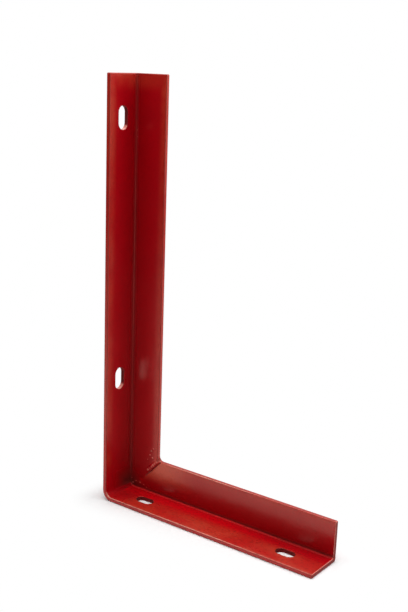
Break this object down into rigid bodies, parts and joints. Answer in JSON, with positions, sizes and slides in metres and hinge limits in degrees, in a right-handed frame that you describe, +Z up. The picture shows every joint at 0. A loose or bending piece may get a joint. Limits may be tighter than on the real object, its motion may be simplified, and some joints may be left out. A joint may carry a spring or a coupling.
{
  "type": "angle bracket",
  "caption": "L-shaped angle-steel wall bracket with a folded heel, a welded mitre in its web and slotted fixing holes in both legs, painted red.",
  "frame": {"origin": "middle of the wall slot pattern, on the wall face", "axes": "+X away from the wall along the lower leg, +Z up the wall leg, +Y towards the web's back"},
  "size_m": [0.175, 0.03, 0.3],
  "materials": {
    "red_paint": "semi-gloss sprayed enamel over mill-finish steel"
  },
  "bodies": {
    "root": {"angle_bracket": "red_paint"}
  },
  "joints": []
}
